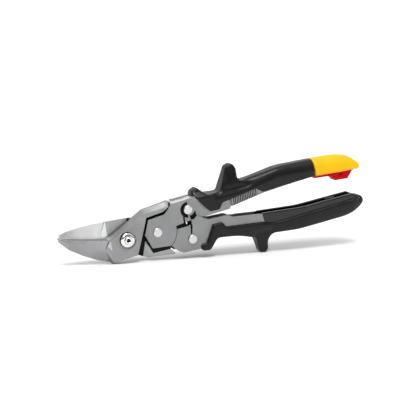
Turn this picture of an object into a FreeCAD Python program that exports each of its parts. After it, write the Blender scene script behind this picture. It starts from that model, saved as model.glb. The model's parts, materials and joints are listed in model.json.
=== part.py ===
import FreeCAD, Part
import os
from math import acos, asin, atan2, cos, hypot, radians, sin, sqrt, tan

# Compound-action aviation snips, about 260 mm long, standing on edge on the lower jaw and the rear finger guard.
#
# The pieces are drawn in the tool frame: x runs from the jaw bolt towards the handle ends, along the line
# through the jaw bolt and the handle pivot, z is across it, and y is along the pivots. "Near" is the -y side.
# place() then tilts the tool to its resting attitude and puts the origin at the bottom centre of its box.

# Linkage: a kite of jaw bolt, two tail pivots and the handle pivot
JAW_ARM = 54.6            # jaw bolt to either tail pivot
HANDLE_ARM = 30.4         # handle pivot to either tail pivot
TAIL_SPREAD = 24.3        # distance between the two tail pivots at rest
TILT = 9.7                # resting angle between the tool axis and the floor
JAW_HEEL = (-14.3, -16.5) # lowest corner of the near jaw, which rests on the floor
ORIGIN_X = 75.68          # jaw bolt axis behind the origin, along the floor

# Layers across the tool, measured from the shear plane
SHEAR_GAP = 0.05
FORGING = 2.75            # half width of a tail eye, and thickness of a tail
INNER_LOW, INNER_HIGH = 2.9, 4.9
NECK_HIGH = 4.85          # outer face of the necks that pass inside the other handle
OUTER_LOW, OUTER_HIGH = 5.0, 7.0
BODY_FACE = 7.6           # face of the raised jaw body
BEVEL_DEPTH = 3.0         # level where the jaw body starts to narrow
GRIP_HALF = 9.5
LINER_HALF = 7.6
SLOT_HALF = 4.3           # slot of the lower handle that the latch loop enters
LATCH_HALF = 3.8

# Fasteners
BOLT_RADIUS = 4.0
BOLT_HEAD_RADIUS = 6.5
BOLT_HEAD_TOP = 10.6
PIN_RADIUS = 2.6
RIVET_HEAD_RADIUS = 3.7
RIVET_HEAD_HEIGHT = 1.3
HINGE_CLEARANCE = 0.05
TAIL_HOLE_PLAY = 0.45     # extra hole radius at the upper tail pivot
EYE_RADIUS = 6.5
SPACER_RADIUS = 3.9
WASHER_RADIUS = 4.6

# Return spring
SPRING_RADIUS = 2.1       # mean coil radius
SPRING_WIRE = 0.9
SPRING_TURNS = 8

PSI = asin(TAIL_SPREAD / 2 / JAW_ARM)
PHI = asin(TAIL_SPREAD / 2 / HANDLE_ARM)
BOLT = (0.0, 0.0)
HANDLE_PIVOT = (JAW_ARM * cos(PSI) - HANDLE_ARM * cos(PHI), 0.0)
UPPER_TAIL = (JAW_ARM * cos(PSI), TAIL_SPREAD / 2)
LOWER_TAIL = (JAW_ARM * cos(PSI), -TAIL_SPREAD / 2)


def floor_level(x):
    """Height of the floor in the tool frame, which passes through the jaw heel."""
    return JAW_HEEL[1] - (x - JAW_HEEL[0]) * tan(radians(TILT))


def vec(point, y=0.0):
    return FreeCAD.Vector(point[0], y, point[1])


def outline(points, y):
    """Closed wire in the plane y; a point (x, z, radius) is a rounded corner."""
    edges = []
    starts = []
    count = len(points)
    for i, point in enumerate(points):
        here = vec(point, y)
        if len(point) == 2:
            starts.append((here, here, None))
            continue
        back = (vec(points[i - 1], y) - here).normalize()
        ahead = (vec(points[(i + 1) % count], y) - here).normalize()
        half = acos(max(-1.0, min(1.0, back.dot(ahead)))) / 2
        reach = point[2] / tan(half)
        first = here + back * reach
        last = here + ahead * reach
        middle = (back + ahead).normalize() * (point[2] / sin(half) - point[2])
        starts.append((first, last, here + middle))
    for i, (first, last, middle) in enumerate(starts):
        if middle is not None:
            edges.append(Part.Arc(first, middle, last).toShape())
        following = starts[(i + 1) % count][0]
        if last.distanceToPoint(following) > 1e-6:
            edges.append(Part.makeLine(last, following))
    return Part.Wire(edges)


def prism(points, y_from, y_to):
    """Plate with the given outline between two y levels."""
    face = Part.Face(outline(points, y_from))
    return face.extrude(FreeCAD.Vector(0, y_to - y_from, 0))


def rod(centre, radius, y_from, y_to):
    """Cylinder along y."""
    low, high = min(y_from, y_to), max(y_from, y_to)
    return Part.makeCylinder(radius, high - low, vec(centre, low), FreeCAD.Vector(0, 1, 0))


def ring(centre, outer, inner, y_from, y_to):
    return rod(centre, outer, y_from, y_to).cut(rod(centre, inner, y_from - 1, y_to + 1))


def turned(centre, profile):
    """Solid of revolution about the y line through centre; profile is (radius, y) points."""
    points = [FreeCAD.Vector(centre[0] + r, y, centre[1]) for r, y in profile]
    face = Part.Face(Part.makePolygon(points + points[:1]))
    return face.revolve(vec(centre), FreeCAD.Vector(0, 1, 0), 360)


def capsule(start, end, start_radius, end_radius, y_from, y_to):
    """Plate around two circles and their common tangents."""
    dx, dz = end[0] - start[0], end[1] - start[1]
    heading = atan2(dz, dx)
    lean = acos((start_radius - end_radius) / hypot(dx, dz))
    corners = []
    for centre, radius, side in ((start, start_radius, 1), (end, end_radius, 1), (end, end_radius, -1),
                                 (start, start_radius, -1)):
        angle = heading + side * lean
        corners.append((centre[0] + radius * cos(angle), centre[1] + radius * sin(angle)))
    body = prism(corners, y_from, y_to)
    return body.fuse([rod(start, start_radius, y_from, y_to), rod(end, end_radius, y_from, y_to)]).removeSplitter()


def arc_points(centre, radius, angle_from, angle_to, steps):
    span = angle_to - angle_from
    angles = [radians(angle_from + span * i / steps) for i in range(steps + 1)]
    return [(centre[0] + radius * cos(a), centre[1] + radius * sin(a)) for a in angles]


def flip(shape):
    """The same shape on the other side: half a turn about the tool axis."""
    turned_shape = shape.copy()
    turned_shape.rotate(FreeCAD.Vector(0, 0, 0), FreeCAD.Vector(1, 0, 0), 180)
    return turned_shape


def union(shapes):
    return shapes[0].fuse(shapes[1:]).removeSplitter()


# Jaws ----------------------------------------------------------------------------------------------------

BODY_BASE = [(-15.5, 3.5), (16.7, 19.9), (38.6, 22.4), (39.7, 21.8), (36.0, 17.4), (32.4, 15.2), (18.2, 13.7),
             (13.0, 1.0), (7.4, -15.2), JAW_HEEL, (-19.4, -4.9)]
BODY_TOP = [(-14.9, 1.6), (14.2, 16.9), (36.8, 18.6), (37.2, 18.4), (35.4, 17.0), (32.2, 15.4), (18.0, 13.9),
            (12.8, 1.2), (6.2, -13.8), (-13.0, -15.0), (-18.8, -3.9)]
# four points (x, y, z) of the plane that bevels the face of the body towards the heel
HEEL_FACET = [(-18.4, -7.6, 4.0), (-3.0, -7.6, -18.0), (-13.4, -5.2, -22.6), (-28.8, -5.2, -0.6)]
# near, lower blade: station along the blade, cutting edge, ridge (height, depth) and lower back
LOWER_BLADE = [(-53.2, 12.6, 11.6, 1.8, 10.0), (-46.0, 10.8, 8.4, 3.6, 1.8), (-36.0, 8.1, 3.0, 5.0, -5.2),
               (-25.0, 5.4, -1.9, 6.0, -11.4), (-12.0, 2.6, -7.6, 6.8, -16.4)]
# far, upper blade: station, cutting edge, top of the flat land above it, ridge (height, depth) and top
UPPER_BLADE = [(-53.4, 12.2, 13.0, 12.8, 1.8, 14.2), (-46.0, 9.4, 11.3, 13.4, 3.6, 16.1),
               (-34.0, 6.4, 8.0, 12.2, 5.0, 16.9), (-22.0, 3.6, 5.1, 11.4, 6.0, 16.9),
               (-10.0, 0.8, 2.6, 10.6, 6.8, 16.2)]


def lofted(sections):
    """Solid through cross sections given as (x, [(y, z), ...])."""
    wires = []
    for x, corners in sections:
        points = [FreeCAD.Vector(x, y, z) for y, z in corners]
        wires.append(Part.makePolygon(points + points[:1]))
    return Part.makeLoft(wires, True, True)


def lower_blade():
    """Near blade: a narrow land at the cutting edge, a steep face to the ridge and a face that runs under."""
    sections = []
    for x, edge, ridge, depth, back in LOWER_BLADE:
        sections.append((x, [(-SHEAR_GAP, edge), (-0.85 * depth, edge - 0.3), (-depth, ridge), (-1.3, back),
                             (-SHEAR_GAP, back)]))
    return lofted(sections)


def upper_blade():
    """Far blade: its near face is flat along the cutting edge and leans back above that."""
    sections = []
    for x, edge, land, ridge, depth, top in UPPER_BLADE:
        sections.append((x, [(SHEAR_GAP, edge), (SHEAR_GAP, land), (0.9, top), (1.7, top), (depth, ridge),
                             (0.5, edge + 0.1)]))
    return lofted(sections)


def jaw_body():
    """Raised body, upper arm, tail and tail eye of the near jaw."""
    plate = prism(BODY_BASE, -BEVEL_DEPTH, -SHEAR_GAP)
    raised = Part.makeLoft([outline(BODY_BASE, -BEVEL_DEPTH), outline(BODY_TOP, -BODY_FACE)], True, True)
    corners = [FreeCAD.Vector(*point) for point in HEEL_FACET]
    facet = Part.Face(Part.makePolygon(corners + corners[:1]))
    raised = raised.cut(facet.extrude(FreeCAD.Vector(0, -5, 0)))
    lower_edge = arc_points(HANDLE_PIVOT, SPACER_RADIUS + 1.5, 145, 60, 4)
    tail = prism([(12.0, 0.0)] + lower_edge + [(48.0, 6.5), (52.0, 16.5), (36.5, 16.5), (34.0, 19.5), (18.0, 17.0)],
                 -FORGING, -SHEAR_GAP)
    eye = rod(UPPER_TAIL, EYE_RADIUS, -FORGING, FORGING)
    return union([plate, raised, tail, eye])


def bolt_hole():
    return rod(BOLT, BOLT_RADIUS + HINGE_CLEARANCE, -20, 20)


def near_jaw():
    shape = union([jaw_body(), lower_blade()])
    shape = shape.cut(bolt_hole())
    shape = shape.cut(rod(BOLT, BOLT_HEAD_RADIUS + 0.6, -20, -BODY_FACE + 0.8))
    return shape.cut(rod(UPPER_TAIL, PIN_RADIUS + TAIL_HOLE_PLAY, -20, 20))


def far_jaw():
    shape = union([flip(jaw_body()), upper_blade()])
    shape = shape.cut(rod(BOLT, BOLT_RADIUS, -20, 20))
    return shape.cut(rod(LOWER_TAIL, PIN_RADIUS + HINGE_CLEARANCE, -20, 20))


# Jaw bolt ------------------------------------------------------------------------------------------------

def hexagon(across_flats, y_from, y_to):
    corner = across_flats / sqrt(3)
    points = [(corner * cos(radians(30 + 60 * i)), corner * sin(radians(30 + 60 * i))) for i in range(6)]
    return prism(points, y_from, y_to)


def pivot_bolt():
    seat = BODY_FACE - 0.75
    head = turned(BOLT, [(0, -BOLT_HEAD_TOP), (2.7, -BOLT_HEAD_TOP), (3.2, -BOLT_HEAD_TOP + 0.5),
                         (3.4, -BOLT_HEAD_TOP + 1.1), (5.4, -BOLT_HEAD_TOP + 1.2), (BOLT_HEAD_RADIUS, -seat - 1.0),
                         (BOLT_HEAD_RADIUS, -seat), (BOLT_RADIUS, -seat), (BOLT_RADIUS, BOLT_HEAD_TOP),
                         (0, BOLT_HEAD_TOP)])
    return head.cut(hexagon(3.0, -BOLT_HEAD_TOP - 1, -BOLT_HEAD_TOP + 1.8))


def bolt_washer():
    return ring(BOLT, 6.4, BOLT_RADIUS, BODY_FACE, BODY_FACE + 0.7)


def pivot_nut():
    nut = hexagon(11.0, BODY_FACE + 0.7, BOLT_HEAD_TOP - 0.1)
    return nut.cut(rod(BOLT, BOLT_RADIUS, 0, 20))


# Handle ears ---------------------------------------------------------------------------------------------

HEAD_NOSE = (14.8, 0.0)
HEAD_SHOULDER = [(19.4, 11.6), (33.2, 13.0), (37.6, 16.8), (39.8, 20.0)]
LOBE_RADIUS = 16.0        # seam between the two ears, about the handle pivot
STOP_RADIUS = 29.2        # outer end of the travel notch, about the handle pivot
SEAM = 0.4


def mirror_z(points):
    return [(x, -z) for x, z in points]


def outer_ear():
    """Near ear of the upper handle: covers the handle pivot and the upper tail pivot."""
    seam_end = arc_points(HANDLE_PIVOT, LOBE_RADIUS, 5.5, -57, 8)
    stop = arc_points(HANDLE_PIVOT, STOP_RADIUS, 14.5, 6.5, 4)
    points = ([HEAD_NOSE] + HEAD_SHOULDER
              + [(51.0, 20.4), (63.0, 21.6), (63.0, 11.6), (59.5, 10.8), (58.0, 9.0), (55.5, 7.2)]
              + stop + seam_end
              + mirror_z(HEAD_SHOULDER[1::-1]))
    ear = prism(points, -OUTER_HIGH, -OUTER_LOW)
    kerf = prism([(49.8, 8.4), (48.4, 8.6), (48.0, 4.6), (48.2, 1.0), (49.5, 1.0), (49.4, 4.6)], -9, 0)
    step = ring(UPPER_TAIL, 6.4, RIVET_HEAD_RADIUS + 0.1, -OUTER_HIGH, -OUTER_HIGH + 1.5)
    keep = prism([(52.0, 0.0), (53.0, 13.0), (54.0, 22.0), (70.0, 22.0), (70.0, 0.0)], -9, 0)
    return ear.cut([kerf, step.cut(keep)])


def head_web():
    """Back of the upper pressing over the head, with a raised bead along its far side."""
    web = prism([(41.5, 19.0), (41.5, 20.0), (51.0, 20.3), (63.0, 21.5), (63.0, 19.9)], -OUTER_HIGH, OUTER_HIGH)
    bead = prism([(43.0, 19.5), (43.6, 21.2), (57.4, 21.7), (61.6, 21.5), (62.4, 20.5)], 3.2, OUTER_HIGH)
    return union([web, bead])


def flush_ear():
    """Near ear of the lower handle: runs under the outer ear to the handle pivot and comes flush beside it."""
    inner = capsule(HANDLE_PIVOT, LOWER_TAIL, 7.5, 7.0, -INNER_HIGH, -INNER_LOW)
    behind_notch = prism([(38.0, 2.6), (48.0, 3.6), (50.2, 3.4), (50.6, 0.6), (53.0, -0.9), (53.5, -6.0),
                          (32.0, -6.0)], -INNER_HIGH, -INNER_LOW)
    seam = arc_points(HANDLE_PIVOT, LOBE_RADIUS + SEAM, -54, -4.2, 8)
    stop = arc_points(HANDLE_PIVOT, STOP_RADIUS + SEAM, 1.5, 7.0, 4)
    points = (seam + [(52.9, -0.9), (53.3, -1.4)] + stop
              + [(56.3, 3.4), (58.0, 4.3), (60.0, 6.0), (65.4, 2.3), (69.0, 0.5), (71.0, 0.4), (71.0, -13.8),
                 (63.0, -20.3), (40.5, -19.3)])
    flush = prism(points, -OUTER_HIGH, -INNER_HIGH)
    slot = prism([(52.9, 0.5), (54.9, 0.5), (54.6, -3.0), (53.4, -8.2), (52.4, -8.0), (53.0, -3.0)], -9, -INNER_HIGH)
    spot = ring(LOWER_TAIL, 5.4, RIVET_HEAD_RADIUS + 0.1, -OUTER_HIGH, -OUTER_HIGH + 0.3)
    return union([inner, behind_notch, flush]).cut([slot, spot])


# Handles -------------------------------------------------------------------------------------------------

UPPER_NECK_LOW = [(59.6, 8.4), (68.4, 3.0), (88.8, 4.0), (90.9, 6.3)]
UPPER_CHANNEL_LOW = [(90.9, 6.3), (118.8, 10.8), (140.0, 12.6), (163.0, 14.2)]
UPPER_WEB = [(63.0, 21.4), (71.0, 16.6), (83.0, 16.4), (104.0, 20.0), (135.0, 23.6), (163.0, 23.8)]
LOWER_NECK_TOP = [(60.0, 6.0), (65.4, 2.3), (69.0, 0.5), (85.8, -0.1), (88.4, -1.6), (90.4, -2.8)]
LOWER_CHANNEL_TOP = [(90.4, -2.8), (114.5, -5.9), (150.0, -9.6), (196.0, -9.8)]
LOWER_WEB = [(63.0, -20.3), (71.0, -13.8), (83.0, -13.2), (110.0, -17.8), (150.0, -21.2), (196.0, -18.6)]
TONGUE = [(162.0, 23.8), (162.0, 21.6), (180.0, 20.6), (180.0, 22.8)]
WEB = 2.2
NECK_END = 95.0


def height(line, x):
    """Height of a line at x."""
    for (x0, z0), (x1, z1) in zip(line, line[1:]):
        if x0 <= x <= x1:
            return z0 + (z1 - z0) * (x - x0) / (x1 - x0)
    return line[-1][1]


def web_band(line, towards, y_low, y_high):
    """Web of a channel: a band of constant thickness along its back line."""
    inner = [(x, z + towards * WEB) for x, z in line]
    return prism(line + inner[::-1], y_low, y_high)


def between(low, high, x_from, x_to):
    """Closed outline between two lines, cut to x_from..x_to."""
    def clip(line):
        kept = []
        for (x0, z0), (x1, z1) in zip(line, line[1:]):
            for x in sorted({max(x0, x_from), min(x1, x_to)}):
                if x0 <= x <= x1 and x_from <= x <= x_to:
                    kept.append((x, z0 + (z1 - z0) * (x - x0) / (x1 - x0)))
        unique = []
        for point in kept:
            if not unique or abs(point[0] - unique[-1][0]) > 1e-6:
                unique.append(point)
        return unique
    return clip(low) + clip(high)[::-1]


def tongue():
    """Strip at the end of the upper web that carries the end cap."""
    return prism(TONGUE, -INNER_HIGH, INNER_HIGH)


def upper_handle_frame():
    """One pressing: near ear outside, far ear flush, then a channel that is open below."""
    neck_low = UPPER_NECK_LOW[1:] + [(NECK_END, height(UPPER_CHANNEL_LOW, NECK_END))]
    neck_top = [(NECK_END, height(UPPER_WEB, NECK_END))] + UPPER_WEB[2::-1]
    around_washer = [(58.0, 21.5), (58.6, 12.0), (57.4, 8.8), (54.5, 7.3), (51.0, 7.1), (50.6, 4.2), (59.0, 3.8)]
    near_neck = prism(around_washer + neck_low + neck_top, -NECK_HIGH, -INNER_LOW)
    joggle = prism([(58.6, 21.5), (58.6, 10.8), (63.0, 11.6), (63.0, 21.4)], -OUTER_LOW, -NECK_HIGH)
    far_low = [(70.0, 3.1)] + UPPER_NECK_LOW[2:] + UPPER_CHANNEL_LOW[1:]
    far_wall = prism(far_low + UPPER_WEB[:0:-1] + [(66.0, 19.6), (70.0, 12.0)], INNER_HIGH, OUTER_HIGH)
    near_wall = prism(between(UPPER_CHANNEL_LOW, UPPER_WEB, 90.9, 163.0), -OUTER_HIGH, -OUTER_LOW)
    shoulder = prism(between(UPPER_CHANNEL_LOW, UPPER_WEB, 90.9, NECK_END), -OUTER_LOW, -NECK_HIGH)
    web_near = web_band(UPPER_WEB[1:3] + neck_top[:1], -1, -NECK_HIGH, OUTER_HIGH)
    web = web_band([(90.9, height(UPPER_WEB, 90.9))] + UPPER_WEB[3:], -1, -OUTER_HIGH, OUTER_HIGH)
    frame = union([outer_ear(), head_web(), near_neck, joggle, flip(flush_ear()), far_wall, near_wall, shoulder,
                   web_near, web, tongue()])
    holes = [rod(HANDLE_PIVOT, PIN_RADIUS + HINGE_CLEARANCE, -20, 20), rod(UPPER_TAIL, PIN_RADIUS, -20, 20)]
    return frame.cut(holes + serration())


def serration():
    """Fine upright grooves across the bare near wall of the upper handle."""
    pitch, width, depth = 1.5, 0.7, 0.35
    grooves = []
    for i in range(15):
        x = 91.6 + pitch * i
        grooves.append(prism([(x, 3.0), (x + width, 3.0), (x + width + 1.0, 17.0), (x + 1.0, 17.0)],
                             -OUTER_HIGH - 1, -OUTER_HIGH + depth))
    return grooves


def lower_handle_frame():
    """The matching pressing: near ear flush, far ear outside, then a channel that is open above."""
    near_wall = prism([(70.0, 0.45)] + LOWER_NECK_TOP[3:] + LOWER_CHANNEL_TOP[1:] + LOWER_WEB[:0:-1]
                      + [(70.0, -14.6)], -OUTER_HIGH, -INNER_HIGH)
    neck_top = LOWER_NECK_TOP[2:] + [(NECK_END, height(LOWER_CHANNEL_TOP, NECK_END))]
    neck_low = [(NECK_END, height(LOWER_WEB, NECK_END))] + LOWER_WEB[2::-1]
    around_washer = [(58.0, -21.5), (58.6, -12.0), (57.4, -8.8), (54.5, -7.3), (51.0, -7.1), (50.6, -4.2),
                     (59.0, -3.8)]
    far_neck = prism(around_washer + neck_top + neck_low, INNER_LOW, NECK_HIGH)
    joggle = prism([(58.6, -21.5), (58.6, -10.8), (63.0, -11.6), (63.0, -20.3)], NECK_HIGH, OUTER_LOW)
    far_wall = prism(between(LOWER_WEB, LOWER_CHANNEL_TOP, 90.4, 196.0), OUTER_LOW, OUTER_HIGH)
    shoulder = prism(between(LOWER_WEB, LOWER_CHANNEL_TOP, 90.4, NECK_END), NECK_HIGH, OUTER_LOW)
    web_near = web_band(LOWER_WEB[1:3] + neck_low[:1], 1, -OUTER_HIGH, NECK_HIGH)
    web = web_band([(90.4, height(LOWER_WEB, 90.4))] + LOWER_WEB[3:], 1, -OUTER_HIGH, OUTER_HIGH)
    frame = union([flush_ear(), near_wall, flip(outer_ear()), flip(head_web()), joggle, far_neck, far_wall, shoulder,
                   web_near, web])
    return frame.cut([rod(HANDLE_PIVOT, PIN_RADIUS, -20, 20), rod(LOWER_TAIL, PIN_RADIUS, -20, 20)])


# Pivot hardware ------------------------------------------------------------------------------------------

def rivet(centre):
    """Headed pivot rivet through the whole stack."""
    top = OUTER_HIGH + RIVET_HEAD_HEIGHT
    rim = RIVET_HEAD_RADIUS
    return turned(centre, [(0, -top), (rim - 0.5, -top), (rim, -top + 0.5), (rim, -OUTER_HIGH),
                           (PIN_RADIUS, -OUTER_HIGH), (PIN_RADIUS, OUTER_HIGH), (rim, OUTER_HIGH),
                           (rim, top - 0.5), (rim - 0.5, top), (0, top)])


def handle_spacer():
    return ring(HANDLE_PIVOT, SPACER_RADIUS, PIN_RADIUS, -INNER_LOW, INNER_LOW - 0.1)


def upper_tail_washer():
    return ring(UPPER_TAIL, WASHER_RADIUS, PIN_RADIUS, -INNER_HIGH, -FORGING - 0.1)


def lower_tail_washer():
    return ring(LOWER_TAIL, WASHER_RADIUS, PIN_RADIUS, FORGING + 0.1, INNER_HIGH)


# Spring --------------------------------------------------------------------------------------------------

UP = FreeCAD.Vector(sin(radians(TILT)), 0, cos(radians(TILT)))
SPRING_FOOT = FreeCAD.Vector(64.6, 0, -8.6)
SPRING_LENGTH = 17.0


def return_spring():
    """Compression coil between the handles, closed at both ends by its first and last turn."""
    rise = SPRING_LENGTH - SPRING_WIRE
    helix = Part.makeHelix(rise / SPRING_TURNS, rise, SPRING_RADIUS)
    start = FreeCAD.Vector(SPRING_RADIUS, 0, 0)
    wire_section = Part.Wire(Part.makeCircle(SPRING_WIRE / 2, start, FreeCAD.Vector(0, 1, 0)))
    coil = Part.Wire(helix.Edges).makePipeShell([wire_section], True, True)
    coil.translate(FreeCAD.Vector(0, 0, SPRING_WIRE / 2))
    coil.rotate(FreeCAD.Vector(0, 0, 0), FreeCAD.Vector(0, 1, 0), TILT)
    coil.translate(SPRING_FOOT)
    return coil


def spring_seat(end, direction, y_from, y_to):
    """Cross bar between the handle walls with a flange and a peg that centres the coil."""
    flange = Part.makeCylinder(2.7, 1.0, end - direction, direction)
    peg = Part.makeCylinder(1.3, 2.4, end, direction)
    centre = end - direction * 2.2
    bar = rod((centre.x, centre.z), 2.3, y_from, y_to)
    return union([bar, flange, peg])


def lower_spring_seat():
    return spring_seat(SPRING_FOOT, UP, -INNER_HIGH, INNER_LOW)


def upper_spring_seat():
    return spring_seat(SPRING_FOOT + UP * SPRING_LENGTH, UP * -1, -INNER_LOW, INNER_HIGH)


# Grips ---------------------------------------------------------------------------------------------------

UPPER_GRIP = [(57.8, 23.2, 1.0), (58.6, 26.4, 2.5), (63.6, 28.6, 2.6), (71.6, 20.4, 4.0), (81.2, 20.2, 3.0),
              (89.6, 39.4, 4.6), (97.6, 41.6, 4.6), (101.6, 35.2, 4.0), (99.9, 24.0, 4.0), (114.4, 26.0, 30.0),
              (137.0, 29.0, 60.0), (165.6, 28.0), (165.6, 14.0), (143.7, 12.5, 60.0), (118.4, 11.2, 1.0),
              (112.6, 15.8, 1.0), (82.9, 11.2, 1.0), (79.4, 6.4, 1.0), (71.3, 6.4, 1.0)]
LOWER_GRIP = [(71.6, -4.4, 1.0), (79.9, -4.4, 1.0), (82.6, -8.8, 1.0), (114.2, -12.4, 8.0), (124.0, -15.2, 12.0),
              (139.3, -14.5, 60.0), (195.2, -12.0, 6.0), (199.0, -9.4, 1.0), (204.6, -11.4, 3.0),
              (208.6, -16.4, 4.0), (202.0, -20.6, 12.0), (190.0, -25.2, 30.0), (145.4, -26.3, 90.0),
              (121.6, -23.8, 8.0), (117.6, -29.0, 6.0), (116.6, floor_level(116.6), 3.2),
              (109.4, floor_level(109.4), 2.8),
              (107.4, -24.4, 5.0), (92.0, -18.6, 60.0), (73.8, -16.0, 5.0), (66.4, -24.4, 3.0),
              (58.6, -23.4, 2.8), (59.6, -17.6, 2.0), (63.8, -18.2, 1.0)]
CAP = [(165.6, 28.0), (186.0, 27.4, 40.0), (198.0, 24.4, 20.0), (208.0, 15.0, 3.0), (206.6, 10.4, 2.0),
       (199.5, 11.8, 10.0), (165.6, 14.0)]
LINER = [(114.5, -5.4, 1.0), (150.0, -8.7, 90.0), (196.6, -7.8, 1.0), (199.4, -9.6), (203.2, -11.4),
         (201.0, -15.4), (139.3, -17.4), (124.0, -17.8), (116.0, -15.0)]


def channel_room(web_line, head, mouth):
    """What a handle frame and the inside of its channel take up, with the mouth running out to the level mouth."""
    outside = [(web_line[-1][0], mouth), (head[0][0], mouth)]
    return prism(head + web_line[1:] + outside, -OUTER_HIGH, OUTER_HIGH)


def latch_room():
    """Space that the latch slides in, open below."""
    half = LATCH_HALF + 0.2
    return prism([(160.0, 5.0), (204.0, 5.0), (204.0, 15.3), (160.0, 15.3)], -half, half)


def narrowed(grip, area, half):
    """The grip with the part inside an outline trimmed to the given half width."""
    return grip.cut([prism(area, half, GRIP_HALF + 1), prism(area, -GRIP_HALF - 1, -half)])


def upper_grip():
    bar = prism(UPPER_GRIP, -GRIP_HALF, GRIP_HALF)
    bar = narrowed(bar, [(50.0, 21.8), (50.0, 34.0), (68.0, 34.0), (71.0, 21.8)], 6.4)
    bar = narrowed(bar, [(76.0, 23.0), (76.0, 45.0), (104.0, 45.0), (104.0, 23.0)], 7.4)
    bar = narrowed(bar, [(76.0, 31.0), (76.0, 45.0), (104.0, 45.0), (104.0, 31.0)], 5.8)
    channel = channel_room(UPPER_WEB, [(50.0, 21.8), (63.2, 21.8), (63.2, 21.3)], 0.0)
    return bar.cut([channel, tongue(), latch_room()])


def lower_liner():
    """Hard sleeve over the rear of the lower channel, slotted for the latch loop."""
    bar = prism(LINER, -LINER_HALF, LINER_HALF)
    slot = prism([(112.0, 0.0), (199.0, 0.0), (199.0, -20.0), (112.0, -20.0)], -SLOT_HALF, SLOT_HALF)
    return bar.cut([slot, lower_handle_frame()])


def lower_grip():
    bar = prism(LOWER_GRIP, -GRIP_HALF, GRIP_HALF)
    bar = narrowed(bar, [(100.0, -26.0), (124.0, -26.0), (124.0, -45.0), (100.0, -45.0)], 7.0)
    liner_room = prism(LINER, -LINER_HALF, LINER_HALF)
    return bar.cut([channel_room(LOWER_WEB, [(50.0, -21.8), (63.2, -21.8), (63.2, -20.2)], 6.0), liner_room])


# Cap and latch -------------------------------------------------------------------------------------------

LOOP = [(180.4, 10.4), (184.0, 5.7, 0.8), (195.4, 4.9, 0.8), (200.0, 10.0)]
LOOP_SLIT = [(185.0, 9.9), (186.0, 9.2), (191.5, 8.9), (191.5, 9.9)]
POCKET_HALF = 1.9         # pocket in the loop that takes the catch
CATCH_HALF = 1.5
RAIL = [(165.9, 15.0), (165.9, 11.6), (181.0, 10.2), (198.0, 9.8), (202.6, 11.4), (202.6, 15.0)]


def end_cap():
    """Cap over the end of the upper handle, open below for the latch."""
    bar = prism(CAP, -GRIP_HALF, GRIP_HALF)
    keyway = prism([(160.0, 13.4), (204.4, 12.6), (204.4, 15.3), (160.0, 15.3)], -5.2, 5.2)
    return bar.cut([latch_room(), keyway, tongue()])


def latch():
    """Slider: a rail with side keys and a trapezoid loop below it, which has a pocket for the catch in front."""
    rail = prism(RAIL, -LATCH_HALF, LATCH_HALF)
    keys = prism([(170.6, 15.1), (170.6, 13.6), (202.6, 13.0), (202.6, 15.1)], -5.0, 5.0)
    loop = prism(LOOP + [(200.0, 12.0), (180.4, 12.0)], -LATCH_HALF, LATCH_HALF)
    slit = prism(LOOP_SLIT, -LATCH_HALF - 1, LATCH_HALF + 1)
    pocket = prism([(178.0, 6.5), (188.0, 6.3), (188.0, 9.1), (178.0, 9.1)], -POCKET_HALF, POCKET_HALF)
    return union([rail, keys, loop]).cut([slit, pocket])


def latch_catch():
    """Hooked lug that stands on the web of the lower channel."""
    front, rear = 174.4, 176.4
    return prism([(front, height(LOWER_WEB, front) + WEB), (rear, height(LOWER_WEB, rear) + WEB), (rear, -9.3),
                  (182.6, -9.7), (182.6, -8.5), (rear, -8.0), (front, -8.0)], -CATCH_HALF, CATCH_HALF)


# Assembly ------------------------------------------------------------------------------------------------

def place(shape):
    placed = shape.copy()
    placed.rotate(FreeCAD.Vector(0, 0, 0), FreeCAD.Vector(0, 1, 0), -TILT)
    placed.translate(FreeCAD.Vector(-ORIGIN_X, 0, -floor_level(0.0) * cos(radians(TILT))))
    return placed


NODES = {
    "near_jaw": near_jaw,
    "far_jaw": far_jaw,
    "pivot_bolt": pivot_bolt,
    "bolt_washer": bolt_washer,
    "pivot_nut": pivot_nut,
    "upper_handle_frame": upper_handle_frame,
    "lower_handle_frame": lower_handle_frame,
    "handle_pivot_rivet": lambda: rivet(HANDLE_PIVOT),
    "upper_tail_rivet": lambda: rivet(UPPER_TAIL),
    "lower_tail_rivet": lambda: rivet(LOWER_TAIL),
    "handle_spacer": handle_spacer,
    "upper_tail_washer": upper_tail_washer,
    "lower_tail_washer": lower_tail_washer,
    "return_spring": return_spring,
    "lower_spring_seat": lower_spring_seat,
    "upper_spring_seat": upper_spring_seat,
    "upper_grip": upper_grip,
    "lower_grip": lower_grip,
    "lower_liner": lower_liner,
    "end_cap": end_cap,
    "latch": latch,
    "latch_catch": latch_catch,
}

os.makedirs("parts", exist_ok=True)
whole = FreeCAD.BoundBox()
for name, make in NODES.items():
    solid = place(make())
    solid.exportStep(f"parts/{name}.step")
    whole.add(solid.BoundBox)
    print(f"{name:22s} {solid.Volume:9.1f} mm3  solids {len(solid.Solids)}  valid {solid.isValid()}")
print("box", [round(v, 2) for v in (whole.XMin, whole.XMax, whole.YMin, whole.YMax, whole.ZMin, whole.ZMax)])
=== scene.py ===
import json
import math

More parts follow.
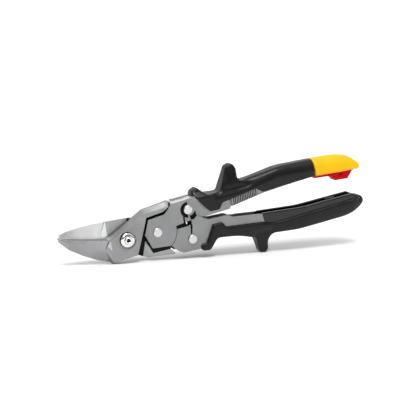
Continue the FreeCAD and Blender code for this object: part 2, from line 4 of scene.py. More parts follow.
import bmesh
import bpy
import numpy as np
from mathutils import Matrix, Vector

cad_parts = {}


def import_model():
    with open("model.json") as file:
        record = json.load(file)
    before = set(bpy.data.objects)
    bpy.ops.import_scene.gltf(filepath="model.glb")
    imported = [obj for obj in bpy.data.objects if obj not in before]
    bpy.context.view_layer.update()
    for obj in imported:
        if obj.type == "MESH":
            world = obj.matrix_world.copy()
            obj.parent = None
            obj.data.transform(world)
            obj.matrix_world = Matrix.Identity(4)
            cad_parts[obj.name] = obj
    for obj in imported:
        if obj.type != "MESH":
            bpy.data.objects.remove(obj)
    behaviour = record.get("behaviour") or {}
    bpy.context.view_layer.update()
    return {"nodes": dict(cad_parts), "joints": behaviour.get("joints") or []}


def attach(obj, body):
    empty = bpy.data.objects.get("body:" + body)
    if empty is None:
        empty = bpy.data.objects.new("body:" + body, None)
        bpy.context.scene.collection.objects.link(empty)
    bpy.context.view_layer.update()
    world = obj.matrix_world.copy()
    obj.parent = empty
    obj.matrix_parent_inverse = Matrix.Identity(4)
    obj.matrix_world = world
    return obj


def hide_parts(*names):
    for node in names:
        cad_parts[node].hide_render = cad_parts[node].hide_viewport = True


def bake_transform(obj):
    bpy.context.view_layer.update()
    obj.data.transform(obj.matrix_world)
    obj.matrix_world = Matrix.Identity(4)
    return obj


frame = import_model()

MM = 0.001

# The tool frame: x from the jaw bolt towards the handle ends through the handle pivot, z across it, y as in
# the row frame. Outlines are in millimetres in this frame, and world() takes them to the row frame in metres.
hinge_at = {joint["name"]: joint.get("pos_m") for joint in frame["joints"]}
BOLT_AT = Vector(hinge_at["jaw_hinge"])
ALONG = (Vector(hinge_at["handle_hinge"]) - BOLT_AT).normalized()
ACROSS = Vector((-ALONG.z, 0, ALONG.x))
SIDEWAYS = (0, 1, 0)


def world(points):
    """Tool-frame millimetres, an array of (x, y, z), to row-frame metres."""
    p = np.asarray(points, float).reshape(-1, 3) * MM
    axes = (ALONG, SIDEWAYS, ACROSS)
    along, sideways, across = (p[:, i:i + 1] * np.array(axis) for i, axis in enumerate(axes))
    return np.array(BOLT_AT) + along + sideways + across


def placed(name, data):
    """A new object in the scene, of a mesh, light or camera."""
    piece = bpy.data.objects.new(name, data)
    bpy.context.scene.collection.objects.link(piece)
    return piece


# Materials -----------------------------------------------------------------------------------------------

def new_material(name, **settings):
    """A Principled material with plain socket values, its node tree and its shader."""
    material = bpy.data.materials.new(name)
    material.use_nodes = True
    tree = material.node_tree
    shader = tree.nodes["Principled BSDF"]
    for socket, value in settings.items():
        shader.inputs[socket.replace("_", " ")].default_value = value
    return material, tree, shader


def add(tree, kind, inputs=None, **settings):
    """A shader node; inputs are sockets to link or plain values, settings are the node's own attributes."""
    node = tree.nodes.new(kind)
    for key, value in settings.items():
        setattr(node, key, value)
    for key, value in (inputs or {}).items():
        if isinstance(value, bpy.types.NodeSocket):
            tree.links.new(value, node.inputs[key])
        else:
            node.inputs[key].default_value = value
    return node


def noise(tree, scale, detail=3.0, roughness=0.5, stretch=None):
    """Noise over the row frame, scale in features per metre; stretch is a scale per axis."""
    vector = add(tree, "ShaderNodeTexCoord").outputs["Object"]
    if stretch:
        vector = add(tree, "ShaderNodeMapping", {"Vector": vector, "Scale": stretch}).outputs["Vector"]
    return add(tree, "ShaderNodeTexNoise", {"Vector": vector, "Scale": scale, "Detail": detail,
                                            "Roughness": roughness}).outputs["Fac"]


def ramp(tree, factor, low, high, start, end):
    """A colour or grey value that runs from start to end as factor goes from low to high."""
    if isinstance(start, (int, float)):
        start, end = (start,) * 3, (end,) * 3
    node = add(tree, "ShaderNodeValToRGB", {"Fac": factor})
    node.color_ramp.elements[0].position = low
    node.color_ramp.elements[0].color = (*start, 1)
    node.color_ramp.elements[1].position = high
    node.color_ramp.elements[1].color = (*end, 1)
    return node.outputs["Color"]


def bump(tree, shader, height, strength, distance):
    """Fine relief on the shader's surface."""
    node = add(tree, "ShaderNodeBump", {"Height": height, "Strength": strength, "Distance": distance})
    tree.links.new(node.outputs["Normal"], shader.inputs["Normal"])


def math_node(tree, operation, a, b=0.0, c=0.0):
    return add(tree, "ShaderNodeMath", {0: a, 1: b, 2: c}, operation=operation).outputs["Value"]


def vector_math(tree, operation, a, b, output):
    return add(tree, "ShaderNodeVectorMath", {0: a, 1: tuple(b)}, operation=operation).outputs[output]


def measure(tree, output, direction, origin=(0, 0, 0)):
    """How far the shaded point, or its normal, reaches along a direction of the tool."""
    vector = add(tree, "ShaderNodeTexCoord").outputs[output]
    moved = vector_math(tree, "SUBTRACT", vector, origin, "Vector")
    return vector_math(tree, "DOT_PRODUCT", moved, direction, "Value")


def all_of(tree, *tests):
    """1 where every (value, comparison, limit) holds."""
    result = 1.0
    for value, comparison, limit in tests:
        result = math_node(tree, "MULTIPLY", result, math_node(tree, comparison, value, limit))
    return result


def mixed(tree, factor, one, other):
    """One colour, and the other where the factor is 1."""
    colors = {"Fac": factor, "Color1": one, "Color2": (*other, 1)}
    return add(tree, "ShaderNodeMixRGB", colors).outputs["Color"]


def tool_place(tree):
    """Place along, sideways and across in tool-frame millimetres; the normal's reach sideways and across."""
    along = math_node(tree, "DIVIDE", measure(tree, "Object", ALONG, BOLT_AT), MM)
    across = math_node(tree, "DIVIDE", measure(tree, "Object", ACROSS, BOLT_AT), MM)
    depth = math_node(tree, "DIVIDE", measure(tree, "Object", SIDEWAYS), MM)
    sideways = math_node(tree, "ABSOLUTE", measure(tree, "Normal", SIDEWAYS))
    return along, depth, across, sideways, measure(tree, "Normal", ACROSS)


# Painted shade, painted highlights and other marks on the metal, and where they go, in the tool frame
# near-black painted shade for faces inside the handles, and for the jaws' tails under the ears and beside the
# raised body
PAINTED_SHADE = (0.012, 0.012, 0.013)
SIDE_FACING = 0.8         # a normal that reaches this far sideways belongs to a flat side face
OUTER_FACE = 6.4          # side faces nearer the middle than this lie inside a handle
HEAD_END = 60             # rear end of the faces inside the handle heads
HEAD_HALF = 18.9          # reach of those faces across the tool
CHANNEL_START = 113       # front end of the faces inside the handle channels

# Near-white painted highlight along the upward-facing top edge of the handle head
TOP_EDGE_HIGHLIGHT = (0.86, 0.86, 0.86)
EDGE_FACING = 0.85        # a normal that reaches this far across belongs to the top edge of the head
EDGE_END, EDGE_LOW = 66, 15   # the bright edge ends before this place along, and starts above this height

# Painted shade in the serrations: dark stripes at the grooves' pitch on the near outer wall of the upper
# handle
GROOVE_SHADE = (0.05, 0.05, 0.052)
GROOVE_PITCH = 1.5
GROOVE_LEAN = 1.0 / 14    # shift along the handle per height
GROOVE_START, GROOVE_END, GROOVE_LOW = 91.6, 113.4, 2

TAIL_FACE = 2.9           # outermost side face of a tail
SHEAR_FACE = 0.6          # side faces nearer the middle than this belong to the blades' meeting faces
BODY_LINE = (18.4, 0.346) # edge of the raised body: its place along at the bolt's level, and its lean
EAR_LINE = (14.1, 0.397)  # front edge of the ear, likewise
EAR_DROP = 17.4           # reach of the ear across the tool
BLADE_ROOT = -13.6        # the ground blade starts in front of this
BLADE_FACING = 0.86       # a normal that reaches this far sideways belongs to the ground blade
BEVEL_LIMIT = -0.08       # normals below this belong to the blade's back

BOLT_FRONT = -6.0         # the bolt's head lies nearer than this
BOLT_RIM, BOLT_SOCKET = 5.75, 1.6
BOLT_RING = (2.85, 3.25)


def handle_tone(tree, tone):
    """Pressed steel: painted shade on the faces inside, a painted highlight along the head's top edge, and
    painted shade in the serrations on the upper wall.
    """
    along, depth, across, sideways, upward = tool_place(tree)
    level = math_node(tree, "ABSOLUTE", depth)
    # Painted shade: side faces inside the handle head, and all faces inside the channels, take the near-black
    # tone.
    stack = all_of(tree, (level, "LESS_THAN", OUTER_FACE), (sideways, "GREATER_THAN", SIDE_FACING),
                   (along, "LESS_THAN", HEAD_END), (across, "LESS_THAN", HEAD_HALF),
                   (across, "GREATER_THAN", -HEAD_HALF))
    channel = all_of(tree, (level, "LESS_THAN", OUTER_FACE), (along, "GREATER_THAN", CHANNEL_START))
    tone = mixed(tree, math_node(tree, "MAXIMUM", stack, channel), tone, PAINTED_SHADE)
    # Painted highlight on the head's top edge.
    edge = all_of(tree, (upward, "GREATER_THAN", EDGE_FACING), (along, "LESS_THAN", EDGE_END),
                  (across, "GREATER_THAN", EDGE_LOW))
    tone = mixed(tree, edge, tone, TOP_EDGE_HIGHLIGHT)
    # Painted shade in the serrations.
    phase = math_node(tree, "SUBTRACT", along, math_node(tree, "MULTIPLY", across, GROOVE_LEAN))
    wave = math_node(tree, "SINE", math_node(tree, "MULTIPLY", phase, 2 * math.pi / GROOVE_PITCH))
    groove = all_of(tree, (wave, "GREATER_THAN", 0.0), (along, "GREATER_THAN", GROOVE_START),
                    (along, "LESS_THAN", GROOVE_END), (across, "GREATER_THAN", GROOVE_LOW),
                    (depth, "LESS_THAN", -OUTER_FACE))
    return mixed(tree, groove, tone, GROOVE_SHADE)


def forging_tone(side, ground):
    """Tone of a jaw, side -1 for the near one: a lighter ground blade that also stands for its painted
    highlight, and painted shade on the tail under the ears and beside the raised body.
    """
    def painted_shade_and_tone(tree, tone):
        along, depth, across, sideways, upward = tool_place(tree)
        level = math_node(tree, "ABSOLUTE", depth)
        drop = math_node(tree, "MULTIPLY", across, float(side))
        inner = all_of(tree, (level, "LESS_THAN", TAIL_FACE), (sideways, "GREATER_THAN", SIDE_FACING),
                       (along, "GREATER_THAN", 4))
        # Painted shade on the tails' inner side faces: everywhere off the blades' meeting faces, and on those
        # faces too where they lie beside the raised body or under the ears.
        from_body = math_node(tree, "MULTIPLY_ADD", drop, -BODY_LINE[1], along)
        from_ear = math_node(tree, "MULTIPLY_ADD", drop, EAR_LINE[1], along)
        beside_body = math_node(tree, "LESS_THAN", from_body, BODY_LINE[0])
        under_ear = all_of(tree, (drop, "GREATER_THAN", -EAR_DROP), (from_ear, "GREATER_THAN", EAR_LINE[0]))
        in_shade = math_node(tree, "MAXIMUM", math_node(tree, "GREATER_THAN", level, SHEAR_FACE),
                            math_node(tree, "MAXIMUM", beside_body, under_ear))
        tone = mixed(tree, math_node(tree, "MULTIPLY", inner, in_shade), tone, PAINTED_SHADE)
        # The ground blade is brighter steel, and its lighter tone also stands for a painted highlight; faces
        # that look down keep the darker tone as painted shade.
        blade = all_of(tree, (along, "LESS_THAN", BLADE_ROOT), (sideways, "GREATER_THAN", BLADE_FACING),
                       (upward, "GREATER_THAN", BEVEL_LIMIT))
        return mixed(tree, blade, tone, ground)
    return painted_shade_and_tone


def bolt_tone(tree, tone):
    """Chrome, darker at its rim, in its groove and in its socket."""
    along, depth, across, sideways, upward = tool_place(tree)
    squares = [math_node(tree, "MULTIPLY", value, value) for value in (along, across)]
    radius = math_node(tree, "SQRT", math_node(tree, "ADD", *squares))
    front = (depth, "LESS_THAN", BOLT_FRONT)
    rim = all_of(tree, (radius, "GREATER_THAN", BOLT_RIM), front)
    socket = all_of(tree, (radius, "LESS_THAN", BOLT_SOCKET), front)
    groove = all_of(tree, (radius, "GREATER_THAN", BOLT_RING[0]), (radius, "LESS_THAN", BOLT_RING[1]), front)
    tone = mixed(tree, rim, tone, (0.02, 0.016, 0.014))
    tone = mixed(tree, socket, tone, (0.05, 0.03, 0.02))
    return mixed(tree, groove, tone, (0.30, 0.26, 0.22))


def metal(name, dark, light, rough_low, rough_high, grain=2600, grain_depth=0.35, metallic=1.0, painted_shade_and_tone=None):
    """Satin steel: cloudy tone, uneven roughness and a fine blasted grain; the tone can also be changed by
    place, with painted shade, painted highlights and other marks.
    """
    material, tree, shader = new_material(name, Metallic=metallic)
    cloud = noise(tree, 55, 4)
    tone = ramp(tree, cloud, 0.3, 0.7, dark, light)
    if painted_shade_and_tone:
        tone = painted_shade_and_tone(tree, tone)
    tree.links.new(tone, shader.inputs["Base Color"])
    patch = noise(tree, 240, 5, 0.6)
    tree.links.new(ramp(tree, patch, 0.3, 0.7, rough_low, rough_high), shader.inputs["Roughness"])
    bump(tree, shader, noise(tree, grain, 2, 0.6), grain_depth, 0.00006)
    return material


def plastic(name, dark, light, rough_low, rough_high, grain=1500, grain_depth=0.25, **settings):
    """Moulded plastic or rubber: slight tone and gloss variation and a fine moulded texture."""
    material, tree, shader = new_material(name, **settings)
    tree.links.new(ramp(tree, noise(tree, 70, 4), 0.3, 0.7, dark, light), shader.inputs["Base Color"])
    tree.links.new(ramp(tree, noise(tree, 180, 5, 0.6), 0.3, 0.7, rough_low, rough_high),
                   shader.inputs["Roughness"])
    bump(tree, shader, noise(tree, grain, 3, 0.6), grain_depth, 0.00005)
    return material


MATERIALS = {
    # The far jaw's ground tone is lighter than the near jaw's: a painted highlight on the far blade.
    "near_jaw_steel": metal("near_jaw_steel", (0.28, 0.283, 0.287), (0.36, 0.363, 0.367), 0.32, 0.44,
                            painted_shade_and_tone=forging_tone(-1, (0.54, 0.542, 0.55))),
    "far_jaw_steel": metal("far_jaw_steel", (0.32, 0.323, 0.327), (0.44, 0.443, 0.447), 0.28, 0.42,
                           painted_shade_and_tone=forging_tone(1, (0.82, 0.822, 0.83))),
    "handle_steel": metal("handle_steel", (0.27, 0.273, 0.277), (0.33, 0.333, 0.337), 0.36, 0.48,
                          painted_shade_and_tone=handle_tone),
    "rivet_steel": metal("rivet_steel", (0.64, 0.64, 0.64), (0.76, 0.76, 0.76), 0.3, 0.42, grain_depth=0.15),
    "bolt_chrome": metal("bolt_chrome", (0.80, 0.77, 0.74), (0.88, 0.86, 0.84), 0.06, 0.14, grain_depth=0.03,
                         painted_shade_and_tone=bolt_tone),
    "zinc_hardware": metal("zinc_hardware", (0.42, 0.42, 0.43), (0.52, 0.52, 0.52), 0.3, 0.45),
    "dark_steel": metal("dark_steel", (0.02, 0.02, 0.021), (0.035, 0.035, 0.036), 0.4, 0.5),
    "spring_steel": metal("spring_steel", (0.22, 0.22, 0.22), (0.34, 0.34, 0.34), 0.22, 0.4),
    "black_grip": plastic("black_grip", (0.003, 0.003, 0.0032), (0.006, 0.006, 0.0063), 0.27, 0.38,
                          Specular_IOR_Level=0.3),
    "black_liner": plastic("black_liner", (0.004, 0.004, 0.0042), (0.006, 0.006, 0.0063), 0.2, 0.3, 900, 0.1),
    "yellow_cap": plastic("yellow_cap", (0.90, 0.46, 0.001), (0.96, 0.51, 0.002), 0.34, 0.46, 900, 0.12,
                          Specular_IOR_Level=0.25),
    "red_latch": plastic("red_latch", (0.56, 0.001, 0.006), (0.66, 0.002, 0.009), 0.3, 0.42, 900, 0.12,
                         Specular_IOR_Level=0.06),
}


def paint(piece, material):
    """Give a piece one material."""
    piece.data.materials.clear()
    piece.data.materials.append(MATERIALS[material])


# Moulded shapes as distance fields -----------------------------------------------------------------------

class Grid:
    """Even sample points around a shape, in tool-frame millimetres."""

    def __init__(self, low, high, step):
        self.step = step
        self.low = np.array(low, float)
        counts = np.ceil((np.array(high, float) - self.low) / step).astype(int) + 1
        self.x, self.y, self.z = np.meshgrid(*(self.low[i] + step * np.arange(counts[i]) for i in range(3)),
                                             indexing="ij")


def rounded(points):
    """Corner points (x, z, radius) to a polygon with its corners drawn as arcs."""
    polygon = []
    count = len(points)
    for i, point in enumerate(points):
        here = np.array(point[:2], float)
        if len(point) == 2:
            polygon.append(here)
            continue
        back = np.array(points[i - 1][:2]) - here
        ahead = np.array(points[(i + 1) % count][:2]) - here
        back /= np.hypot(*back)
        ahead /= np.hypot(*ahead)
        half = math.acos(max(-1.0, min(1.0, float(back @ ahead)))) / 2
        middle = here + (back + ahead) / np.hypot(*(back + ahead)) * point[2] / math.sin(half)
        first, last = here + back * point[2] / math.tan(half), here + ahead * point[2] / math.tan(half)
        for t in np.linspace(0, 1, 6):
            spoke = (first - middle) * (1 - t) + (last - middle) * t
            polygon.append(middle + spoke / np.hypot(*spoke) * point[2])
    return polygon


def outline_distance(grid, points):
    """Signed distance to an outline in the x-z plane, negative inside, the same for every y."""
    polygon = rounded(points)
    x, z = grid.x[:, 0, :], grid.z[:, 0, :]
    nearest = np.full(x.shape, 1e9)
    inside = np.zeros(x.shape, bool)
    for (x0, z0), (x1, z1) in zip(polygon, polygon[1:] + polygon[:1]):
        dx, dz = x1 - x0, z1 - z0
        t = np.clip(((x - x0) * dx + (z - z0) * dz) / max(dx * dx + dz * dz, 1e-12), 0, 1)
        nearest = np.minimum(nearest, np.hypot(x - x0 - t * dx, z - z0 - t * dz))
        crosses = (z0 > z) != (z1 > z)
        if dz:
            inside ^= crosses & (x < x0 + (z - z0) / dz * dx)
    return np.where(inside, -nearest, nearest)[:, None, :]


def slab(outline, across, radius):
    """Solid of an outline distance and a sideways distance, with its edges rounded to a radius."""
    a, b = outline + radius, across + radius
    return np.minimum(np.maximum(a, b), 0) + np.hypot(np.maximum(a, 0), np.maximum(b, 0)) - radius


def smooth_cut(solid, tool, radius=0.3):
    """Solid less tool, with the new edge softened."""
    a, b = solid, -tool
    h = np.maximum(radius - np.abs(a - b), 0) / radius
    return np.maximum(a, b) + h * h * radius / 4


def shared(*solids):
    """Where all of the solids are."""
    result = solids[0]
    for solid in solids[1:]:
        result = np.maximum(result, solid)
    return result


def beside(grid, half):
    """Distance outside the layer that reaches half to either side of the middle."""
    return np.abs(grid.y) - half


def step_between(x, low, high):
    """0 before low, 1 after high, smooth between."""
    t = np.clip((x - low) / (high - low), 0, 1)
    return t * t * (3 - 2 * t)


def line(x, points):
    """Height of a bent line at x."""
    return np.interp(x, [p[0] for p in points], [p[1] for p in points])


def skin(name, grid, field):
    """Closed mesh of the field's zero surface, one vertex per crossed cell."""
    inside = field < 0
    corners = [(i, j, k) for i in (0, 1) for j in (0, 1) for k in (0, 1)]
    nx, ny, nz = (n - 1 for n in field.shape)

    def corner(values, c):
        return values[c[0]:c[0] + nx, c[1]:c[1] + ny, c[2]:c[2] + nz]

    filled = sum(corner(inside, c).astype(np.int8) for c in corners)
    active = (filled > 0) & (filled < 8)
    cells = np.argwhere(active)
    total, hits = np.zeros((len(cells), 3)), np.zeros((len(cells), 1))
    for a in corners:
        for axis in range(3):
            if a[axis]:
                continue
            b = tuple(c + (i == axis) for i, c in enumerate(a))
            fa, fb = corner(field, a)[active], corner(field, b)[active]
            crossed = (fa < 0) != (fb < 0)
            t = np.where(crossed, fa / np.where(crossed, fa - fb, 1), 0)
            at = np.array(a, float) + t[:, None] * np.eye(3)[axis]
            total += np.where(crossed[:, None], at, 0)
            hits += crossed[:, None]
    points = grid.low + grid.step * (cells + total / hits)
    index = np.full(active.shape, -1)
    index[active] = np.arange(len(cells))
    faces = []
    for axis in range(3):
        one, two = (axis + 1) % 3, (axis + 2) % 3
        span = [slice(0, n) for n in field.shape]
        ahead = list(span)
        span[axis] = slice(0, field.shape[axis] - 1)
        ahead[axis] = slice(1, field.shape[axis])
        change = inside[tuple(span)].astype(int) - inside[tuple(ahead)]
        for sign in (1, -1):
            edge = np.argwhere(change == sign)
            edge = edge[(edge[:, one] > 0) & (edge[:, two] > 0)
                        & (edge[:, one] < active.shape[one]) & (edge[:, two] < active.shape[two])]
            ring = []
            for da, db in ((0, 0), (1, 0), (1, 1), (0, 1)):
                cell = edge.copy()
                cell[:, one] -= da
                cell[:, two] -= db
                ring.append(index[tuple(cell.T)])
            ring = np.stack(ring, 1)
            faces.append(ring if sign == 1 else ring[:, ::-1])
    mesh = bpy.data.meshes.new(name)
    mesh.from_pydata(world(points).tolist(), [], np.concatenate(faces).tolist())
    mesh.shade_smooth()
    return placed(name, mesh)


def settle(piece, body, material, slot, *nodes):
    """Give a finished piece its material and body, and hide the CAD nodes it stands for; slot is not used."""
    paint(piece, material)
    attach(piece, body)
    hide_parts(*nodes)
    return piece


# Grips ---------------------------------------------------------------------------------------------------

STEP = 0.7                # sampling of the grips
FINE_STEP = 0.6           # sampling of the thinner mouldings
GRIP_HALF = 9.4
CHANNEL_HALF = 7.05       # hollow of the grips and the liner, which takes the handle channel
CAP_JOINT = 165.6         # where the upper grip ends and the cap begins
JOINT_GAP = 0.1           # half the gap between the two
SOFT_EDGE = 0.3           # softening of the hollows' edges
LATCH_MIDDLE = 182

UPPER_GRIP = [(58.6, 22.8, 0.8), (59.8, 25.4, 1.8), (64.2, 27.4, 2.3), (71.6, 20.2, 4.0), (82.8, 20.0, 3.0),
              (91.2, 38.4, 3.4), (97.0, 40.4, 3.2), (99.8, 35.2, 4.0), (99.0, 24.2, 4.0), (114.4, 26.0, 30.0),
              (137.0, 28.9, 60.0), (CAP_JOINT, 27.9), (CAP_JOINT, 14.0), (143.7, 12.5, 60.0),
              (118.4, 11.2, 1.0), (112.6, 15.8, 1.0), (82.9, 11.2, 1.0), (79.4, 6.4, 1.0), (71.3, 6.4, 1.0)]
UPPER_CHANNEL = [(50, 21.8), (63.2, 21.8), (71, 16.8), (83, 16.6), (104, 20.2), (135, 23.7), (163, 23.9),
                 (163, 0), (50, 0)]
CREASE = [(106.0, 14.0), (113.2, 16.7), (133.2, 20.4), (150.0, 19.4), (CAP_JOINT, 18.4), (186.0, 15.6),
          (208.0, 12.6)]
CAP = [(CAP_JOINT, 28.0), (186.0, 27.4, 40.0), (198.0, 24.4, 20.0), (207.9, 15.0, 3.0), (206.5, 10.4, 2.0),
       (199.5, 11.8, 10.0), (CAP_JOINT, 14.0)]


def handle_width(grid):
    """Half width of the upper handle: widest at the crease, closing over the top, drawn in slightly below."""
    crease = line(grid.x, CREASE)
    above = np.maximum(grid.z - crease, 0) / 9.2
    below = np.maximum(crease - grid.z, 0)
    rear = step_between(grid.x, 102, 116)
    crown = GRIP_HALF * np.sqrt(np.maximum(1 - above ** 2 * 0.72, 0.01)) - 0.16 * below
    knob = 1 - step_between(grid.x, 70, 76)
    horn = step_between(grid.x, 74, 80)
    front = GRIP_HALF - knob * 4.4 * step_between(grid.z, 19, 25)
    front = front - horn * (2.3 * step_between(grid.z, 15, 21) + 2.2 * step_between(grid.z, 22, 38))
    return rear * crown + (1 - rear) * front


def upper_grip():
    """Soft grip, hollow for the handle channel and open below for the latch and the keys it slides on."""
    grid = Grid((54, -12, 3), (168, 12, 44), STEP)
    solid = slab(outline_distance(grid, UPPER_GRIP), np.abs(grid.y) - handle_width(grid), 2.0)
    solid = smooth_cut(solid, CAP_JOINT - JOINT_GAP - grid.x, 0.4)
    channel = shared(outline_distance(grid, UPPER_CHANNEL), beside(grid, CHANNEL_HALF))
    slider = shared(159.6 - grid.x, grid.z - 15.9, beside(grid, 4.6))
    keys = shared(164.6 - grid.x, np.abs(grid.z - 14.2) - 1.7, beside(grid, 5.5))
    solid = smooth_cut(solid, np.minimum(channel, np.minimum(slider, keys)), SOFT_EDGE)
    piece = skin("upper_grip_soft", grid, solid)
    return settle(piece, "upper_handle", "black_grip", "black_grip", "upper_grip")


def end_cap():
    """Cap on the end of the upper handle, with room for the latch, its keyway and the handle's tongue."""
    grid = Grid((163, -12, 8), (211, 12, 31), FINE_STEP)
    width = handle_width(grid) - 4.2 * step_between(grid.x, 188, 209)
    solid = slab(outline_distance(grid, CAP), np.abs(grid.y) - width, 1.6)
    solid = smooth_cut(solid, grid.x - CAP_JOINT - JOINT_GAP, 0.4)
    from_middle = np.abs(grid.x - LATCH_MIDDLE)
    room = shared(from_middle - 22, grid.z - 15.3, beside(grid, 4.0))
    keyway = shared(from_middle - 22.4, np.abs(grid.z - 14.3) - 1.1, beside(grid, 5.2))
    tongue_level = 22.2 - 0.056 * (grid.x - 162)
    tongue = shared(grid.x - 180, np.abs(grid.z - tongue_level) - 1.3, beside(grid, 5.0))
    solid = smooth_cut(solid, np.minimum(np.minimum(room, keyway), tongue), SOFT_EDGE)
    piece = skin("end_cap_shell", grid, solid)
    return settle(piece, "upper_handle", "yellow_cap", "yellow_cap", "end_cap")


LOWER_GRIP = [(71.6, -4.4, 1.0), (79.9, -4.4, 1.0), (82.6, -8.8, 1.0), (114.2, -12.4, 8.0),
              (124.0, -15.2, 12.0), (139.3, -14.5, 60.0), (195.2, -12.0, 6.0), (199.0, -9.4, 1.0),
              (204.6, -11.4, 3.0),
              (208.5, -16.4, 4.0), (202.0, -20.6, 12.0), (190.0, -25.2, 30.0), (145.4, -26.2, 90.0),
              (121.6, -23.8, 8.0), (117.6, -29.0, 6.0), (116.6, -38.8, 3.2), (109.4, -37.6, 2.8),
              (107.4, -24.4, 5.0), (92.0, -18.6, 60.0), (73.8, -16.0, 5.0), (66.4, -24.4, 3.0),
              (58.6, -23.4, 2.8), (59.6, -17.6, 2.0), (63.8, -18.2, 1.0)]
LINER = [(114.5, -5.4, 1.0), (150.0, -8.7, 90.0), (196.6, -7.8, 1.0), (199.4, -9.6), (203.2, -11.4),
         (201.0, -15.4), (139.3, -17.4), (124.0, -17.8), (116.0, -15.0)]


LOWER_CHANNEL = [(50, -21.8), (63.2, -21.8), (71, -14.0), (83, -13.4), (110, -18.0), (150, -21.4),
                 (196, -18.8), (196, 6), (50, 6)]
WALL_BAND = [(90, -3.4), (114.5, -6.6), (150, -10.3), (196, -10.5), (196, -22), (90, -22)]
LINER_HALF = 7.6
LATCH_SLOT_HALF = 4.3


def lower_grip():
    """Soft grip, narrow at its guard and its end, hollow for the handle channel and the hard liner."""
    grid = Grid((55, -12, -41), (211, 12, -2), STEP)
    middle = line(grid.x, [(60, -14), (114, -18), (145, -20), (208, -16)])
    belly = np.maximum(middle - grid.z, 0) / 9.0
    rear = step_between(grid.x, 116, 128)
    guard = step_between(grid.x, 100, 108) * (1 - step_between(grid.x, 120, 128))
    width = GRIP_HALF - rear * 3.2 * belly ** 2 - guard * 2.4 * step_between(-grid.z, 16, 22)
    width = width - guard * 2.0 * step_between(-grid.z, 24, 34)
    width = width - 4.4 * step_between(grid.x, 194, 209)
    solid = slab(outline_distance(grid, LOWER_GRIP), np.abs(grid.y) - width, 1.8)
    channel = shared(outline_distance(grid, LOWER_CHANNEL), beside(grid, CHANNEL_HALF))
    sleeve = shared(outline_distance(grid, LINER) - 0.05, beside(grid, LINER_HALF + 0.05))
    solid = smooth_cut(solid, np.minimum(channel, sleeve), SOFT_EDGE)
    piece = skin("lower_grip_soft", grid, solid)
    return settle(piece, "lower_handle", "black_grip", "black_grip", "lower_grip")


def lower_liner():
    """Hard sleeve in the lower grip, slotted for the latch loop and open for the channel's walls."""
    grid = Grid((110, -9, -20), (206, 9, -3), FINE_STEP)
    solid = slab(outline_distance(grid, LINER), beside(grid, LINER_HALF), 0.9)
    slot = shared(grid.x - 199, beside(grid, LATCH_SLOT_HALF))
    wall = shared(outline_distance(grid, WALL_BAND), beside(grid, CHANNEL_HALF))
    solid = smooth_cut(solid, np.minimum(slot, wall), SOFT_EDGE)
    piece = skin("lower_liner_shell", grid, solid)
    return settle(piece, "lower_handle", "black_liner", "black_liner", "lower_liner")


# Metal pieces --------------------------------------------------------------------------------------------

def softened(node, body, material, slot, width=0.3, angle=32):
    """The CAD node's own shape with its sharp edges broken by a bevel, or only shaded sharp at width 0."""
    mesh = frame["nodes"][node].data.copy()
    piece = placed(node + "_edged", mesh)
    work = bmesh.new()
    work.from_mesh(mesh)
    bmesh.ops.remove_doubles(work, verts=work.verts, dist=1e-6)
    if width:
        bmesh.ops.dissolve_limit(work, angle_limit=math.radians(0.1), verts=work.verts, edges=work.edges)
    work.to_mesh(mesh)
    work.free()
    if "custom_normal" in mesh.attributes:
        mesh.attributes.remove(mesh.attributes["custom_normal"])
    mesh.shade_smooth()
    if not width:
        mesh.set_sharp_from_angle(angle=math.radians(angle))
        return settle(piece, body, material, slot, node)
    bevel = piece.modifiers.new("edges", "BEVEL")
    bevel.width = width * MM
    bevel.segments = 2
    bevel.limit_method = "ANGLE"
    bevel.angle_limit = math.radians(angle)
    bevel.harden_normals = True
    bpy.context.view_layer.objects.active = piece
    bpy.ops.object.modifier_apply(modifier="edges")
    return settle(piece, body, material, slot, node)


def lathed(name, profile, segments=72):
    """Solid of revolution about the jaw bolt's axis; profile is (radius, y) points from axis to axis."""
    corners = []
    faces = []
    for i in range(segments):
        angle = 2 * math.pi * i / segments
        corners += [(r * math.cos(angle), y, r * math.sin(angle)) for r, y in profile]
    count = len(profile)
    for i in range(segments):
        here, ahead = i * count, (i + 1) % segments * count
        faces += [(here + k, here + k + 1, ahead + k + 1, ahead + k) for k in range(count - 1)]
    mesh = bpy.data.meshes.new(name)
    mesh.from_pydata(world(corners).tolist(), [], faces)
    work = bmesh.new()
    work.from_mesh(mesh)
    bmesh.ops.remove_doubles(work, verts=work.verts, dist=1e-7)
    bmesh.ops.recalc_face_normals(work, faces=work.faces)
    work.to_mesh(mesh)
    work.free()
    mesh.shade_smooth()
    mesh.set_sharp_from_angle(angle=math.radians(35))
    return placed(name, mesh)


def jaw_bolt():
    """Chrome bolt: a small socket in a raised boss, a dished ring and a domed shoulder."""
    socket = [(0, -8.9), (1.1, -9.1), (1.45, -9.2), (1.5, -10.3)]
    boss = [(1.75, -10.55), (2.5, -10.55), (2.9, -10.2)]
    ring = [(3.1, -9.3), (3.6, -9.25), (4.4, -9.15), (5.0, -8.9)]
    shoulder = [(5.6, -8.45), (6.0, -7.9), (6.15, -7.3), (6.15, -6.9)]
    shank = [(4.0, -6.9), (4.0, 10.3), (3.7, 10.6), (0, 10.6)]
    piece = lathed("pivot_bolt_chromed", socket + boss + ring + shoulder + shank)
    settle(piece, "far_jaw", "bolt_chrome", "bolt_chrome", "pivot_bolt")


def spring():
    """The coil between the handles."""
    piece = placed("return_spring_coil", frame["nodes"]["return_spring"].data.copy())
    paint(piece, "spring_steel")
    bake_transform(piece)
    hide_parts("return_spring")


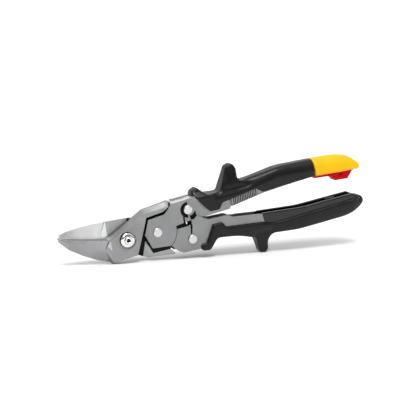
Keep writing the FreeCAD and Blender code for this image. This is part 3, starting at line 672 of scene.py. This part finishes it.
NODES_BY_MATERIAL = {
    "near_jaw_steel": ("near_jaw",),
    "far_jaw_steel": ("far_jaw",),
    "bolt_chrome": ("pivot_bolt",),
    "handle_steel": ("upper_handle_frame", "lower_handle_frame"),
    "rivet_steel": ("handle_pivot_rivet", "upper_tail_rivet", "lower_tail_rivet"),
    "zinc_hardware": ("bolt_washer", "pivot_nut", "handle_spacer", "upper_tail_washer", "lower_tail_washer",
                      "lower_spring_seat", "upper_spring_seat"),
    "spring_steel": ("return_spring",),
    "dark_steel": ("latch_catch",),
    "red_latch": ("latch",),
    "black_grip": ("upper_grip", "lower_grip"),
    "black_liner": ("lower_liner",),
    "yellow_cap": ("end_cap",),
}
for material, nodes in NODES_BY_MATERIAL.items():
    for node in nodes:
        paint(frame["nodes"][node], material)

upper_grip()
end_cap()
lower_grip()
lower_liner()
softened("near_jaw", "near_jaw", "near_jaw_steel", "jaw_steel", 0.45)
softened("far_jaw", "far_jaw", "far_jaw_steel", "jaw_steel", 0)
softened("upper_handle_frame", "upper_handle", "handle_steel", "handle_steel", 0.3)
softened("lower_handle_frame", "lower_handle", "handle_steel", "handle_steel", 0.3)
softened("latch", "latch", "red_latch", "red_latch", 0.35)
jaw_bolt()
for name, body in (("handle_pivot_rivet", "lower_handle"), ("upper_tail_rivet", "upper_handle"),
                   ("lower_tail_rivet", "lower_handle")):
    softened(name, body, "rivet_steel", "rivet_steel", 0.3)
spring()


# Camera, floor and light ---------------------------------------------------------------------------------

AZIMUTH, ELEVATION = math.radians(-21), math.radians(10)
DISTANCE = 1.2
LENS_PIXELS, FRAME_PIXELS, SENSOR = 1500, 416, 36
AIM = Vector((-5.58, 0, 38.57)) * MM
FLOOR_HALF = 25.0
FLOOR_DROP = 0.0002
SKY = 0.9
SKY_LEAN = (0.2, 0.55)    # how much brighter the sky grows to the right and to the back
SKY_DARK, SKY_LIGHT = 0.10, 1.0


def camera():
    """Long lens at the viewing angle, looking at the middle of the tool."""
    data = bpy.data.cameras.new("camera")
    data.sensor_width = SENSOR
    data.lens = LENS_PIXELS / FRAME_PIXELS * SENSOR
    data.clip_start = 0.01
    piece = placed("camera", data)
    back = Vector((math.sin(AZIMUTH) * math.cos(ELEVATION), -math.cos(AZIMUTH) * math.cos(ELEVATION),
                   math.sin(ELEVATION)))
    piece.location = AIM + back * DISTANCE
    piece.rotation_euler = back.to_track_quat("Z", "Y").to_euler()
    bpy.context.scene.camera = piece


def floor():
    """Pale matt ground just below the tool."""
    corners = [(x * FLOOR_HALF, y * FLOOR_HALF, 0) for x, y in ((-1, -1), (1, -1), (1, 1), (-1, 1))]
    mesh = bpy.data.meshes.new("floor")
    mesh.from_pydata(corners, [], [(0, 1, 2, 3)])
    mesh.materials.append(new_material("floor_white", Roughness=0.9, Base_Color=(0.92, 0.92, 0.92, 1))[0])
    piece = placed("floor", mesh)
    piece.location.z = -FLOOR_DROP


def surroundings():
    """Soft light that is strong overhead and falls off to the horizon."""
    sky = bpy.data.worlds.new("studio")
    sky.use_nodes = True
    tree = sky.node_tree
    direction = add(tree, "ShaderNodeTexCoord").outputs["Generated"]
    parts = add(tree, "ShaderNodeSeparateXYZ", {"Vector": direction}).outputs
    behind = math_node(tree, "MULTIPLY", parts["Y"], SKY_LEAN[1])
    side = math_node(tree, "MULTIPLY", parts["X"], SKY_LEAN[0])
    lift = math_node(tree, "ADD", math_node(tree, "ADD", behind, side), parts["Z"])
    level = math_node(tree, "MULTIPLY_ADD", lift, 0.77, 0.42)
    tone = ramp(tree, level, 0.0, 1.0, SKY_DARK, SKY_LIGHT)
    tree.links.new(tone, tree.nodes["Background"].inputs["Color"])
    tree.nodes["Background"].inputs["Strength"].default_value = SKY
    bpy.context.scene.world = sky
    bpy.context.scene.view_settings.view_transform = "Standard"


def sun(name, direction, strength, softness):
    """A distant light from a direction, softness degrees across."""
    data = bpy.data.lights.new(name, "SUN")
    data.energy = strength
    data.angle = math.radians(softness)
    placed(name, data).rotation_euler = Vector(direction).to_track_quat("Z", "Y").to_euler()


camera()
floor()
sun("key", (-0.12, -0.4, 1.0), 1.9, 26)
sun("sheen", (-0.5, -1.0, 0.75), 0.3, 20)
surroundings()
